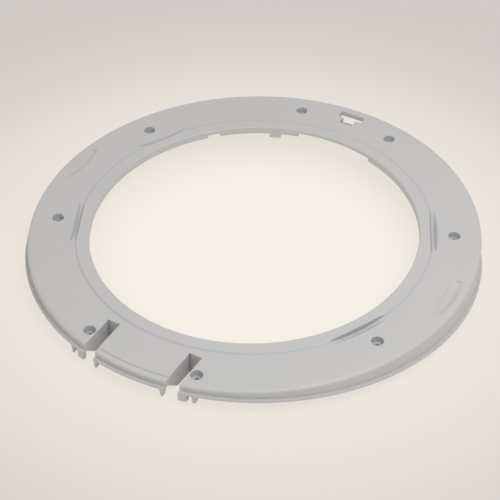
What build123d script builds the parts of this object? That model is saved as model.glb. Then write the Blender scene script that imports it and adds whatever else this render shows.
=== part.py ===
import os
from math import asin, cos, degrees, radians, sin, tan
from build123d import *

os.makedirs("parts", exist_ok=True)

# Ring: radii, height of the face over the table, and slopes of the face and of the flange (mm, degrees)
INNER_R = 150.0
LIP_W = 11.2
WALL_R = 205.5
FLANGE_W = 2.8
MID_H = 28.4
TILT = 2.5
FLANGE_TILT = 1.68

# Shell thicknesses and edge roundings
SKIN_T = 2.8
WALL_T = 2.6
COLLAR_T = 2.6
RIB_T = 1.8
FLANGE_T = 1.8
LIP_H = 0.8
LIP_SLOPE = 1.3
SHOULDER_SIDE_R = 2.2
SHOULDER_TOP_R = 3.0
LIP_CHAMFER = 0.8

# Collar round the opening, cut short beside the latch
COLLAR_D = 6.5
COLLAR_GAP_FROM = -16.7
COLLAR_GAP_TO = 13.5
HOOK_AT = 22.4
HOOK_W = 10.6
HOOK_D = 11.0
HOOK_T = 3.0
CLIP_AT = 45.4
CLIP_W = 12.6
CLIP_H = 3.2
CLIP_GAP = 2.0

# Screw holes with sunk heads, each row set in from the wall, and the height of each row's feet
HEAD_R = 5.5
HEAD_D = 5.5
SCREW_R = 2.2
BOSS_R = 7.2
SIDE_SCREW_IN = 24.5
SIDE_SCREW_OFF = 25.0
SIDE_FOOT_H = 10.0
LATCH_SCREW_IN = 21.5
LATCH_SCREW_A = 15.3
LATCH_FOOT_H = 18.0
HINGE_SCREW_IN = 14.5
HINGE_SCREW_A = 163.8
HINGE_FOOT_H = 5.5

# Hinge slots in from the wall, their deep pockets, and the pegs under the flange beside them
SLOT_Y = 40.9
SLOT_W = 12.0
SLOT_L = 40.5
SLOT_WALL_T = 2.4
POCKET_L = 19.5
POCKET_SLOPE = 40.0
PEG_D = 7.0
PEG_T = 4.0
LEG_W = 7.0
LEG_GAP = 4.2
FIN_W = 4.0
FIN_TIP_W = 1.8
SILL_W = 6.0
SILL_D = 0.6

# Latch window, a T in plan, set in from the wall, and the mouth in the wall behind it
WIN_RIM = 9.5
WIN_BAR_L = 8.5
WIN_STEM_L = 8.5
WIN_BAR_W = 25.0
WIN_STEM_W = 13.0
WIN_WALL_T = 2.0
WIN_WALL_D = 4.6
MOUTH_W = 36.0
MOUTH_H = 14.0
MOUTH_D = 6.0

# Troughs at the two sides, set in from the wall
DISH_IN = 12.3
DISH_W = 12.0
DISH_L = 45.0
DISH_D = 3.2
DISH_END_D = 0.9

# Scoops beside the lip
SCOOP_OFF = 26.5
SCOOP_LAP = 2.0
SCOOP_W = 7.2
SCOOP_L = 54.0
SCOOP_D = 3.0

# Ribs under the face
RIB_GAP = 6.5
RIB_D = 12.0
RIB_LIFT = 1.0
RIB_STEP = 18.0
RIB_CLEAR = 5.0

# Shared planes and derived sizes
LIP_R = INNER_R + LIP_W
FLANGE_R = WALL_R + FLANGE_W
HIGH = MID_H + 2.0 * WALL_R * tan(radians(TILT)) + 20.0
FACE = Plane(
    origin=(0, 0, MID_H),
    x_dir=(cos(radians(TILT)), 0, sin(radians(TILT))),
    z_dir=(-sin(radians(TILT)), 0, cos(radians(TILT))),
)
BASE = Plane(
    origin=(0, 0, FLANGE_R * sin(radians(FLANGE_TILT))),
    x_dir=(cos(radians(FLANGE_TILT)), 0, -sin(radians(FLANGE_TILT))),
    z_dir=(sin(radians(FLANGE_TILT)), 0, cos(radians(FLANGE_TILT))),
)
SIDE_SCREW_R = WALL_R - SIDE_SCREW_IN
LATCH_SCREW_R = WALL_R - LATCH_SCREW_IN
HINGE_SCREW_R = WALL_R - HINGE_SCREW_IN
SLOT_END_X = SLOT_L - WALL_R
SLOT_IN_Y = SLOT_Y - SLOT_W / 2
SLOT_OUT_Y = SLOT_Y + SLOT_W / 2
SILL_R = WALL_R - SILL_W
WIN_X2 = WALL_R - WIN_RIM
WIN_X1 = WIN_X2 - WIN_BAR_L
WIN_X0 = WIN_X1 - WIN_STEM_L
SCOOP_IN = LIP_R - SCOOP_LAP
SCOOP_OUT = SCOOP_IN + SCOOP_W
DISH_R = WALL_R - DISH_IN
RIB_IN_R = LIP_R + RIB_GAP
RIB_TOP = SKIN_T / 2
COLLAR_R0 = INNER_R - COLLAR_T
COLLAR_R1 = INNER_R + 1.5 * COLLAR_T


def face_z(x):
    """Height of the sloping face above a point."""
    return MID_H + x * tan(radians(TILT))


def over(depth):
    """Everything above the plane that lies this deep under the sloping face."""
    with BuildPart() as block:
        with BuildSketch(FACE.offset(-depth)):
            Circle(FLANGE_R * 1.5)
        extrude(amount=HIGH * 2)
    return block.part


def beneath(lift):
    """Everything below the plane that lies this far above the underside of the flange."""
    with BuildPart() as block:
        with BuildSketch(BASE.offset(lift)):
            Circle(FLANGE_R * 1.5)
        extrude(amount=-HIGH * 3)
    return block.part


def tube(r_in, r_out, z0, z1):
    """Upright tube between two heights."""
    with BuildPart() as ring:
        with BuildSketch(Plane.XY.offset(z0)):
            Circle(r_out)
            Circle(r_in, mode=Mode.SUBTRACT)
        extrude(amount=z1 - z0)
    return ring.part


def sector(r_in, r_out, a0, a1, z0, z1):
    """Piece of an upright tube between two angles."""
    with BuildPart() as piece:
        with BuildSketch(Plane.XZ):
            with Locations(((r_in + r_out) / 2, (z0 + z1) / 2)):
                Rectangle(r_out - r_in, z1 - z0)
        revolve(axis=Axis.Z, revolution_arc=a1 - a0)
    return piece.part.rotate(Axis.Z, a0)


def sag_r(chord, depth):
    """Radius of an arc from its chord and its depth."""
    return (chord**2 / 4 + depth**2) / (2 * depth)


def polar(r, a):
    return r * cos(radians(a)), r * sin(radians(a))


# Screw and scoop places, mirrored about the line from hinge to latch
scoop_angles = [s * (90 + k * SCOOP_OFF) for s in (-1, 1) for k in (-1, 1)]
side_angles = [s * (90 + k * SIDE_SCREW_OFF) for s in (-1, 1) for k in (-1, 1)]
screws = [(polar(SIDE_SCREW_R, a), SIDE_FOOT_H) for a in side_angles]
screws += [(polar(LATCH_SCREW_R, s * LATCH_SCREW_A), LATCH_FOOT_H) for s in (-1, 1)]
screws += [(polar(HINGE_SCREW_R, s * HINGE_SCREW_A), HINGE_FOOT_H) for s in (-1, 1)]

# Section of the shell, turned about the axis of the sloping face; the shoulder is two tangent arcs
arc_step = (SHOULDER_SIDE_R - SHOULDER_TOP_R) * sin(radians(45))
wall_top = -SHOULDER_TOP_R - arc_step
shoulder_in = WALL_R - SHOULDER_SIDE_R + arc_step
with BuildPart() as shell:
    with BuildSketch(Plane(FACE.origin, x_dir=FACE.x_dir, z_dir=-FACE.y_dir)):
        with BuildLine():
            CenterArc((WALL_R - SHOULDER_SIDE_R, wall_top), SHOULDER_SIDE_R, 0, 45)
            CenterArc((shoulder_in, -SHOULDER_TOP_R), SHOULDER_TOP_R, 45, 45)
            Polyline(
                (shoulder_in, 0),
                (LIP_R + LIP_SLOPE, 0),
                (LIP_R, LIP_H),
                (INNER_R + LIP_CHAMFER, LIP_H),
                (INNER_R, LIP_H - LIP_CHAMFER),
                (INNER_R, -COLLAR_D),
                (INNER_R + COLLAR_T, -COLLAR_D),
                (INNER_R + COLLAR_T, -SKIN_T),
                (WALL_R - WALL_T, -SKIN_T),
                (WALL_R - WALL_T, -HIGH),
                (WALL_R, -HIGH),
                (WALL_R, wall_top),
            )
        make_face()
    revolve(axis=Axis(FACE.origin, FACE.z_dir))

    # Wall ends on the flange, which slopes down from the hinge to the latch
    add(beneath(0), mode=Mode.SUBTRACT)
    add(BASE.location * tube(WALL_R - WALL_T / 4, FLANGE_R, 0, FLANGE_T))

    # Collar cut away beside the latch
    with BuildPart(mode=Mode.PRIVATE) as gap:
        add(sector(COLLAR_R0, COLLAR_R1, COLLAR_GAP_FROM, COLLAR_GAP_TO, -HIGH, -SKIN_T))
    add(FACE.location * gap.part, mode=Mode.SUBTRACT)

    # Mouth in the wall behind the latch window
    with Locations((WALL_R, 0, face_z(WALL_R) - MOUTH_D - MOUTH_H / 2)):
        Box(6 * WALL_T, MOUTH_W, MOUTH_H, mode=Mode.SUBTRACT)

# Radial ribs outside the glass, clear of screws, slots and window
with BuildPart() as ribs:
    taken = [0.0, 180.0] + side_angles
    taken += [s * a for s in (-1, 1) for a in (LATCH_SCREW_A, HINGE_SCREW_A)]
    taken += [s * (180 - degrees(asin(SLOT_Y / WALL_R))) for s in (-1, 1)]
    for n in range(int(360 / RIB_STEP)):
        a = -180 + RIB_STEP * (n + 0.5)
        if min(abs((a - t + 180) % 360 - 180) for t in taken) > RIB_CLEAR:
            with Locations(Rotation(0, 0, a)):
                with Locations(((RIB_IN_R + WALL_R) / 2, 0, HIGH / 2)):
                    Box(WALL_R - RIB_IN_R, RIB_T, HIGH)
    add(over(RIB_D), mode=Mode.INTERSECT)
    add(beneath(RIB_LIFT), mode=Mode.SUBTRACT)

# Pegs that hang from the rim of the flange beside the slots
with BuildPart() as pegs:
    fin_at = SLOT_OUT_Y + LEG_W + LEG_GAP + FIN_W / 2
    with BuildSketch(Plane.YZ):
        for s in (-1, 1):
            for mid, top_w, tip_w in (
                (SLOT_IN_Y - FIN_W / 2, FIN_W, FIN_TIP_W),
                (SLOT_OUT_Y + LEG_W / 2, LEG_W, LEG_W),
                (fin_at, FIN_W, FIN_TIP_W),
            ):
                Polygon(
                    (s * mid - top_w / 2, FLANGE_T / 2),
                    (s * mid + top_w / 2, FLANGE_T / 2),
                    (s * mid + tip_w / 2, -PEG_D),
                    (s * mid - tip_w / 2, -PEG_D),
                    align=None,
                )
    extrude(amount=-FLANGE_R)
    add(tube(FLANGE_R - PEG_T, FLANGE_R, -PEG_D, FLANGE_T), mode=Mode.INTERSECT)

# Everything else that hangs under the skin
with BuildPart() as under:
    add(ribs.part)

    # Screw bosses
    for (x, y), foot in screws:
        with Locations((x, y, foot)):
            Cylinder(BOSS_R, HIGH, align=(Align.CENTER, Align.CENTER, Align.MIN))

    # Pockets round the hinge slots, down to the table and cut back towards the flange
    x_in = SLOT_END_X + SLOT_WALL_T
    x_foot = SLOT_END_X - POCKET_L
    z_rim = BASE.origin.Z + WALL_R * tan(radians(FLANGE_TILT))
    for s in (-1, 1):
        with BuildSketch(Plane.XZ.offset(-s * SLOT_Y)):
            Polygon(
                (x_in, 0),
                (x_in, HIGH),
                (-WALL_R, HIGH),
                (-WALL_R, z_rim),
                (x_foot - z_rim / tan(radians(POCKET_SLOPE)), z_rim),
                (x_foot, 0),
                align=None,
            )
        extrude(amount=SLOT_W / 2 + SLOT_WALL_T, both=True)

    # Pans under the scoops and troughs
    pans = [(a, (SCOOP_IN + SCOOP_OUT) / 2, SCOOP_W, SCOOP_L, SCOOP_D) for a in scoop_angles]
    pans += [(a, DISH_R, DISH_W, DISH_L, DISH_D) for a in (-90, 90)]
    for a, r, width, length, depth in pans:
        with BuildPart(mode=Mode.PRIVATE) as pan:
            with BuildSketch(FACE.offset(-depth - SKIN_T)):
                with Locations(Rotation(0, 0, a)):
                    with Locations((r, 0)):
                        Rectangle(width + 2 * SKIN_T, length)
            extrude(amount=depth + SKIN_T)
        add(pan.part)

    # Walls round the latch window
    with BuildPart(mode=Mode.PRIVATE) as win_wall:
        with BuildSketch(Plane.XY.offset(face_z(WIN_X2) - WIN_WALL_D)):
            with Locations(((WIN_X0 + WIN_X2) / 2, 0)):
                Rectangle(WIN_X2 - WIN_X0 + 2 * WIN_WALL_T, WIN_STEM_W + 2 * WIN_WALL_T)
            with Locations(((WIN_X1 + WIN_X2) / 2, 0)):
                Rectangle(WIN_X2 - WIN_X1 + 2 * WIN_WALL_T, WIN_BAR_W + 2 * WIN_WALL_T)
        extrude(amount=HIGH)
    add(win_wall.part)

    add(over(RIB_TOP), mode=Mode.SUBTRACT)
    add(FACE.location * tube(WALL_R - WALL_T / 2, FLANGE_R * 2, -2 * HIGH, HIGH), mode=Mode.SUBTRACT)

# One piece, with its holes, slots and window cut through
with BuildPart() as frame:
    add(shell.part)
    add(under.part)
    add(BASE.location * pegs.part)

    # Locating hook under the collar
    half = degrees(HOOK_W / 2 / INNER_R)
    with BuildPart(mode=Mode.PRIVATE) as hook:
        add(sector(INNER_R, INNER_R + HOOK_T, HOOK_AT - half, HOOK_AT + half, -HOOK_D, -RIB_TOP))
    add(FACE.location * hook.part)

    # Clip notch in the collar, with a stop wall behind it
    half = degrees(CLIP_W / 2 / INNER_R)
    stop_r = INNER_R + COLLAR_T + CLIP_GAP
    with BuildPart(mode=Mode.PRIVATE) as stop:
        add(sector(stop_r, stop_r + RIB_T, CLIP_AT - half, CLIP_AT + half, -COLLAR_D, -RIB_TOP))
    add(FACE.location * stop.part)
    with BuildPart(mode=Mode.PRIVATE) as clip:
        z1 = CLIP_H - COLLAR_D
        add(sector(COLLAR_R0, COLLAR_R1, CLIP_AT - half, CLIP_AT + half, -HIGH, z1))
    add(FACE.location * clip.part, mode=Mode.SUBTRACT)

    for (x, y), foot in screws:
        with Locations((x, y, face_z(x) - HEAD_D)):
            Cylinder(
                HEAD_R, HIGH, align=(Align.CENTER, Align.CENTER, Align.MIN), mode=Mode.SUBTRACT
            )
        with Locations((x, y, 0)):
            Cylinder(SCREW_R, 4 * HIGH, mode=Mode.SUBTRACT)

    for s in (-1, 1):
        with Locations(((SLOT_END_X - FLANGE_R * 1.2) / 2, s * SLOT_Y, 0)):
            Box(FLANGE_R * 1.2 + SLOT_END_X, SLOT_W, 4 * HIGH, mode=Mode.SUBTRACT)

    with Locations(((WIN_X0 + WIN_X2) / 2, 0, 0)):
        Box(WIN_X2 - WIN_X0, WIN_STEM_W, 4 * HIGH, mode=Mode.SUBTRACT)
    with Locations(((WIN_X1 + WIN_X2) / 2, 0, 0)):
        Box(WIN_X2 - WIN_X1, WIN_BAR_W, 4 * HIGH, mode=Mode.SUBTRACT)

    # Shallow sill between the hinge slots
    with BuildPart(mode=Mode.PRIVATE) as sill:
        with BuildSketch(FACE.offset(-SILL_D)):
            Circle(WALL_R * 1.2)
            Circle(SILL_R, mode=Mode.SUBTRACT)
            with Locations((-WALL_R, 0)):
                Rectangle(WALL_R, 2 * SLOT_IN_Y, mode=Mode.INTERSECT)
        extrude(amount=HIGH)
    add(sill.part, mode=Mode.SUBTRACT)

    # Scoops: flat inner wall, dished floor, sloping outer side
    floor_r = sag_r(SCOOP_L, SCOOP_D)
    arc = degrees(asin(SCOOP_L / 2 / SCOOP_IN)) + 2
    with BuildPart(mode=Mode.PRIVATE) as band:
        with BuildSketch(Plane.XZ):
            Polygon(
                (SCOOP_IN - SCOOP_W, 2 * SCOOP_D),
                (SCOOP_OUT + 2 * SCOOP_D, 2 * SCOOP_D),
                (SCOOP_OUT - 2 * SCOOP_D, -2 * SCOOP_D),
                (SCOOP_IN - SCOOP_W, -2 * SCOOP_D),
                align=None,
            )
        revolve(axis=Axis.Z, revolution_arc=2 * arc)
    with BuildPart(mode=Mode.PRIVATE) as scoop:
        with Locations(Pos(SCOOP_IN, 0, floor_r - SCOOP_D) * Rotation(0, 90, 0)):
            Cylinder(
                floor_r, SCOOP_W + 2 * SCOOP_D, align=(Align.CENTER, Align.CENTER, Align.MIN)
            )
        add(band.part.rotate(Axis.Z, -arc), mode=Mode.INTERSECT)
    for a in scoop_angles:
        add(FACE.location * Rotation(0, 0, a) * scoop.part, mode=Mode.SUBTRACT)

    # Troughs: round in section, deepest in the middle, with blunt ends
    bed_r = sag_r(DISH_W, DISH_D)
    bend_r = sag_r(DISH_L, DISH_D - DISH_END_D)
    bend = degrees(asin(DISH_L / 2 / bend_r))
    with BuildPart(mode=Mode.PRIVATE) as trough:
        with BuildSketch(Plane.YZ):
            with Locations((0, bed_r - DISH_D)):
                Circle(bed_r)
        revolve(axis=Axis((0, 0, bed_r - DISH_D + bend_r), (0, 1, 0)), revolution_arc=2 * bend)
    with BuildPart(mode=Mode.PRIVATE) as dish:
        add(trough.part.rotate(Axis((0, 0, bed_r - DISH_D + bend_r), (0, 1, 0)), -bend))
    for s in (-1, 1):
        add(FACE.location * Pos(0, s * DISH_R, 0) * dish.part, mode=Mode.SUBTRACT)

frame.part.label = "door_inner_frame"
export_step(frame.part, "parts/door_inner_frame.step")
print(frame.part.bounding_box(), frame.part.volume, len(frame.part.solids()), frame.part.is_valid)
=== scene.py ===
# %% [markdown]
# The inner door frame of a front-loading washing machine: one moulding in light grey plastic that
# backs the round door and holds the glass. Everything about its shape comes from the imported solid,
# which is loaded first and never moved, so this lesson is about its finish, its light and its view.

# %% Load the solid
from math import cos, radians, sin
import bpy
from mathutils import Matrix, Vector


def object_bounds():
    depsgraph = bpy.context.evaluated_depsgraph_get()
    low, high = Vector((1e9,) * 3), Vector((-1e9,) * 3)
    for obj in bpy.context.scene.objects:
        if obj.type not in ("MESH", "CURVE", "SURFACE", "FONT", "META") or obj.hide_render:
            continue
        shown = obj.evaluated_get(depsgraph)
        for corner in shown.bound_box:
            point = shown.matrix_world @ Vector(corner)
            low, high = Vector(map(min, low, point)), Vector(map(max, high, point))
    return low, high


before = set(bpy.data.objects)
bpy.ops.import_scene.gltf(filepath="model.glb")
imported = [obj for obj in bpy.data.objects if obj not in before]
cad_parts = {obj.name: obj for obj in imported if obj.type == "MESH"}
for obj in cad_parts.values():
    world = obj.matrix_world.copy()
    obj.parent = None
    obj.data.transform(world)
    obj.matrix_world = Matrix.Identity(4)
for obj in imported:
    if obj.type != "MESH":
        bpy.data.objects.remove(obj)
cad_low, cad_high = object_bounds()
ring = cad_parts["door_inner_frame"]
print("ring from", tuple(cad_low), "to", tuple(cad_high), "with", len(ring.data.polygons), "faces")

# %% [markdown]
# Materials are written in nodes. One helper is enough for all of them: it adds a node, sets what is
# given and joins what is given. Colours are written as the hex values that a paint program shows and
# turned to the linear values that a renderer adds up.


# %% Helpers for colours and nodes
def linear(hex_colour):
    """Linear RGBA of an sRGB hex colour such as #C0C0C0."""
    parts = [int(hex_colour[i : i + 2], 16) / 255 for i in (1, 3, 5)]
    return [c / 12.92 if c <= 0.04045 else ((c + 0.055) / 1.055) ** 2.4 for c in parts] + [1]


def add_node(tree, kind, settings=None, links=None):
    """Adds a node; settings go to sockets or properties, links join sockets to its inputs."""
    node = tree.nodes.new(kind)
    for name, value in (settings or {}).items():
        if isinstance(name, int) or name in node.inputs:
            node.inputs[name].default_value = value
        else:
            setattr(node, name, value)
    for name, socket in (links or {}).items():
        tree.links.new(socket, node.inputs[name])
    return node


def new_material(name):
    """An empty node material and its tree."""
    material = bpy.data.materials.new(name)
    material.use_nodes = True
    material.node_tree.nodes.clear()
    return material, material.node_tree


def per_metre(size_mm):
    """Scale of a pattern whose features are this many millimetres across."""
    return 1000 / size_mm


print("mid grey is", linear("#808080"))

# %% [markdown]
# The plastic is ABS, a common choice for washer doors, moulded in a steel tool whose cavity was spark
# eroded to a fine matte. That gives the eye a soft, wide highlight and no mirror image. The pigment is
# mixed into the granules, so the grey is even, with only a faint drift where the melt flowed. The grain
# of such a tool is about a quarter of a millimetre, finer than one pixel here, so it is drawn coarser.
# Both are noise in the ring's own coordinates, which needs no unwrapping and leaves no seams.

# %% Pigment and grain of moulded ABS
PIGMENT = ("#BCBDBE", "#C1C0C0")
DRIFT_MM = 55
GRAIN_MM = 1.4  # the real grain is about 0.25 mm and would not show
GRAIN_DEPTH = 0.00002
GRAIN_STRENGTH = 0.5
ROUGHNESS = (0.44, 0.54)

abs_plastic, tree = new_material("abs_moulded_light_grey")
place = add_node(tree, "ShaderNodeTexCoord").outputs["Object"]
drift = add_node(
    tree, "ShaderNodeTexNoise", {"Scale": per_metre(DRIFT_MM), "Detail": 3}, {"Vector": place}
)
grain = add_node(
    tree, "ShaderNodeTexNoise", {"Scale": per_metre(GRAIN_MM), "Detail": 2}, {"Vector": place}
)
grey = add_node(
    tree,
    "ShaderNodeMix",
    {"data_type": "RGBA", 6: linear(PIGMENT[0]), 7: linear(PIGMENT[1])},
    {0: drift.outputs["Fac"]},
)
roughness = add_node(
    tree,
    "ShaderNodeMapRange",
    {"To Min": ROUGHNESS[0], "To Max": ROUGHNESS[1]},
    {"Value": grain.outputs["Fac"]},
)
bump = add_node(
    tree,
    "ShaderNodeBump",
    {"Strength": GRAIN_STRENGTH, "Distance": GRAIN_DEPTH},
    {"Height": grain.outputs["Fac"]},
)
print("plastic so far has", len(tree.nodes), "nodes")

# %% [markdown]
# Painted shade: the grey is darkened at the foot of the lip and in the scoops, where shade falls in
# these hollows, so these lines are a shade darker from every side. It could be painted on by hand, but
# ambient
# occlusion finds such hollows by itself: it tells how open the space within 2 mm of a point is. The
# darkening is kept to the ring's inner band and fades out between 170 and 174 mm from its axis.

# %% Painted shade in the hollows
# the grey that the painted shade reaches where a hollow is deepest
PAINTED_SHADE_GREY = "#AAAAAC"
HOLLOW_REACH = 0.002
HOLLOW_FULL = 0.88
HOLLOW_SAMPLES = 16
PAINTED_SHADE_R = 0.170
PAINTED_SHADE_END_R = 0.174

# painted shade: ambient occlusion darkens the grey where a hollow would shade it
hollow = add_node(
    tree,
    "ShaderNodeAmbientOcclusion",
    {"samples": HOLLOW_SAMPLES, "only_local": True, "Distance": HOLLOW_REACH},
)
painted_shade_amount = add_node(
    tree,
    "ShaderNodeMapRange",
    {"From Min": HOLLOW_FULL, "From Max": 1.0, "To Min": 1.0, "To Max": 0.0},
    {"Value": hollow.outputs["AO"]},
)
level = add_node(tree, "ShaderNodeVectorMath", {"operation": "MULTIPLY", 1: (1, 1, 0)}, {0: place})
from_axis = add_node(tree, "ShaderNodeVectorMath", {"operation": "LENGTH"}, {0: level.outputs[0]})
inside_shade_band = add_node(
    tree,
    "ShaderNodeMapRange",
    {"From Min": PAINTED_SHADE_R, "From Max": PAINTED_SHADE_END_R, "To Min": 1.0, "To Max": 0.0},
    {"Value": from_axis.outputs["Value"]},
)
painted_shade_mask = add_node(
    tree,
    "ShaderNodeMath",
    {"operation": "MULTIPLY"},
    {0: painted_shade_amount.outputs["Result"], 1: inside_shade_band.outputs["Result"]},
)
# the painted shade is mixed into the base grey here
grey_with_painted_shade = add_node(
    tree,
    "ShaderNodeMix",
    {"data_type": "RGBA", 7: linear(PAINTED_SHADE_GREY)},
    {0: painted_shade_mask.outputs[0], 6: grey.outputs[2]},
)
# the printed radius is where the painted shade ends
print("seal line out to", PAINTED_SHADE_END_R, "m")

# %% [markdown]
# The parts come together in one shader. The index of refraction is that of ABS, which sets how strong
# the soft highlight is. It is the same all over, so it is set on the shader itself.

# %% Finish of the ring
ABS_IOR = 1.53

shader = add_node(
    tree,
    "ShaderNodeBsdfPrincipled",
    {"IOR": ABS_IOR},
    {
        "Base Color": grey_with_painted_shade.outputs[2],
        "Roughness": roughness.outputs["Result"],
        "Normal": bump.outputs["Normal"],
    },
)
add_node(tree, "ShaderNodeOutputMaterial", links={"Surface": shader.outputs["BSDF"]})
ring.data.materials.clear()
ring.data.materials.append(abs_plastic)
print("plastic nodes:", len(tree.nodes))

# %% [markdown]
# The floor is a plain sheet of pale uncoated paper, the usual stage for spare parts. Its matte surface
# gives the eye no highlight. More lamps would make it paler, but they would wash out the ring too.
# Instead, rays from the camera see most of its colour as it is written, and a share of plain diffuse
# keeps the ring's soft shadow. Diffuse light reaches the ring from the plain diffuse sheet alone. A
# pool
# of light is painted on the sheet: it is palest in the middle and fades outwards to the colour of the
# backdrop.


# %% Pale floor
def background_rays(tree):
    """A socket that is 1 for rays from the camera, off gloss or through glass, and 0 for others."""
    rays = add_node(tree, "ShaderNodeLightPath").outputs
    seen = rays["Is Camera Ray"]
    for kind in ("Is Glossy Ray", "Is Transmission Ray"):
        either = add_node(tree, "ShaderNodeMath", {"operation": "MAXIMUM"}, {0: seen, 1: rays[kind]})
        seen = either.outputs[0]
    return seen


FLOOR_REACH = 4.0
FLOOR_GAP = 0.0002
PALE = "#F8F2E8"
BACKDROP = "#D4CECB"
PALE_R = 0.06
FADE_R = 0.47
SHOWN_SHARE = 0.85

bpy.ops.mesh.primitive_plane_add(size=2 * FLOOR_REACH, location=(0, 0, cad_low.z - FLOOR_GAP))
floor = bpy.context.object
floor.name = "floor"

pale_paper, tree = new_material("paper_uncoated_pale")
place = add_node(tree, "ShaderNodeTexCoord").outputs["Object"]
from_middle = add_node(tree, "ShaderNodeVectorMath", {"operation": "LENGTH"}, {0: place})
# painted pool of light: the sheet's colour is palest in the middle and fades to the backdrop's
fade = add_node(
    tree,
    "ShaderNodeMapRange",
    {"interpolation_type": "SMOOTHSTEP", "From Min": PALE_R, "From Max": FADE_R},
    {"Value": from_middle.outputs["Value"]},
)
cream = add_node(
    tree,
    "ShaderNodeMix",
    {"data_type": "RGBA", 6: linear(PALE), 7: linear(BACKDROP)},
    {0: fade.outputs["Result"]},
)
shown = add_node(tree, "ShaderNodeEmission", {"Strength": 1.0}, {"Color": cream.outputs[2]})
lit = add_node(tree, "ShaderNodeBsdfDiffuse", links={"Color": cream.outputs[2]})
share = add_node(
    tree, "ShaderNodeMath", {"operation": "MULTIPLY", 1: SHOWN_SHARE}, {0: background_rays(tree)}
)
sheet = add_node(
    tree,
    "ShaderNodeMixShader",
    links={0: share.outputs[0], 1: lit.outputs[0], 2: shown.outputs[0]},
)
add_node(tree, "ShaderNodeOutputMaterial", links={"Surface": sheet.outputs[0]})
floor.data.materials.append(pale_paper)
print("floor at", floor.location.z)

# %% [markdown]
# Above the floor there is soft light from all round, and one soft lamp three quarters of a metre up
# and a little to the right. Light that comes mostly from above leaves every steep side darker than the
# face, which is what shows the lip, the scoops and the sunk holes on a part of one colour. Being near,
# the lamp also lets the face fall off slightly from right to left. The levels add up to about one on a
# level white card, so the grey renders about as it is written.

# %% Soft light
TENT = "#FFFDFA"
TENT_LEVEL = 0.79
LAMP_SIZE = 0.5
LAMP_POWER = 2.2
LAMP_AT = Vector((-0.12, -0.42, 0.75))

world = bpy.data.worlds.new("light_tent")
bpy.context.scene.world = world
world.use_nodes = True
tree = world.node_tree
tree.nodes.clear()
tent = add_node(tree, "ShaderNodeBackground", {"Color": linear(TENT), "Strength": TENT_LEVEL})
backdrop = add_node(tree, "ShaderNodeBackground", {"Color": linear(BACKDROP), "Strength": 1.0})
sky = add_node(
    tree,
    "ShaderNodeMixShader",
    links={0: background_rays(tree), 1: tent.outputs[0], 2: backdrop.outputs[0]},
)
add_node(tree, "ShaderNodeOutputWorld", links={"Surface": sky.outputs[0]})

lamp_data = bpy.data.lights.new("overhead_softbox", "AREA")
lamp_data.size = LAMP_SIZE
lamp_data.energy = LAMP_POWER
lamp = bpy.data.objects.new("overhead_softbox", lamp_data)
lamp.location = LAMP_AT
lamp.rotation_euler = (-LAMP_AT).to_track_quat("-Z", "Y").to_euler()
bpy.context.scene.collection.objects.link(lamp)
print("lamp", round(LAMP_AT.length, 2), "m away")

# %% [markdown]
# The view is a long lens about 1.3 m away, looking down at 39 degrees from the hinge side, which keeps
# the ring's ellipse close to a true one. The camera is placed by turning round the point it looks at.

# %% Camera
AIM = Vector((-0.007, 0, 0.0059))
AZIMUTH = radians(-59.63)
ELEVATION = radians(39.21)
DISTANCE = 1.3445
ROLL = radians(0.15)
LENS_MM = 105.64

back = Vector((sin(AZIMUTH) * cos(ELEVATION), -cos(AZIMUTH) * cos(ELEVATION), sin(ELEVATION)))
camera_data = bpy.data.cameras.new("camera")
camera_data.lens = LENS_MM
camera = bpy.data.objects.new("camera", camera_data)
turn = (-back).to_track_quat("-Z", "Y").to_matrix().to_4x4() @ Matrix.Rotation(ROLL, 4, "Z")
camera.matrix_world = Matrix.Translation(AIM + back * DISTANCE) @ turn
bpy.context.scene.collection.objects.link(camera)
bpy.context.scene.camera = camera
bpy.context.scene.view_settings.view_transform = "Standard"
print("camera at", tuple(round(x, 4) for x in camera.location))
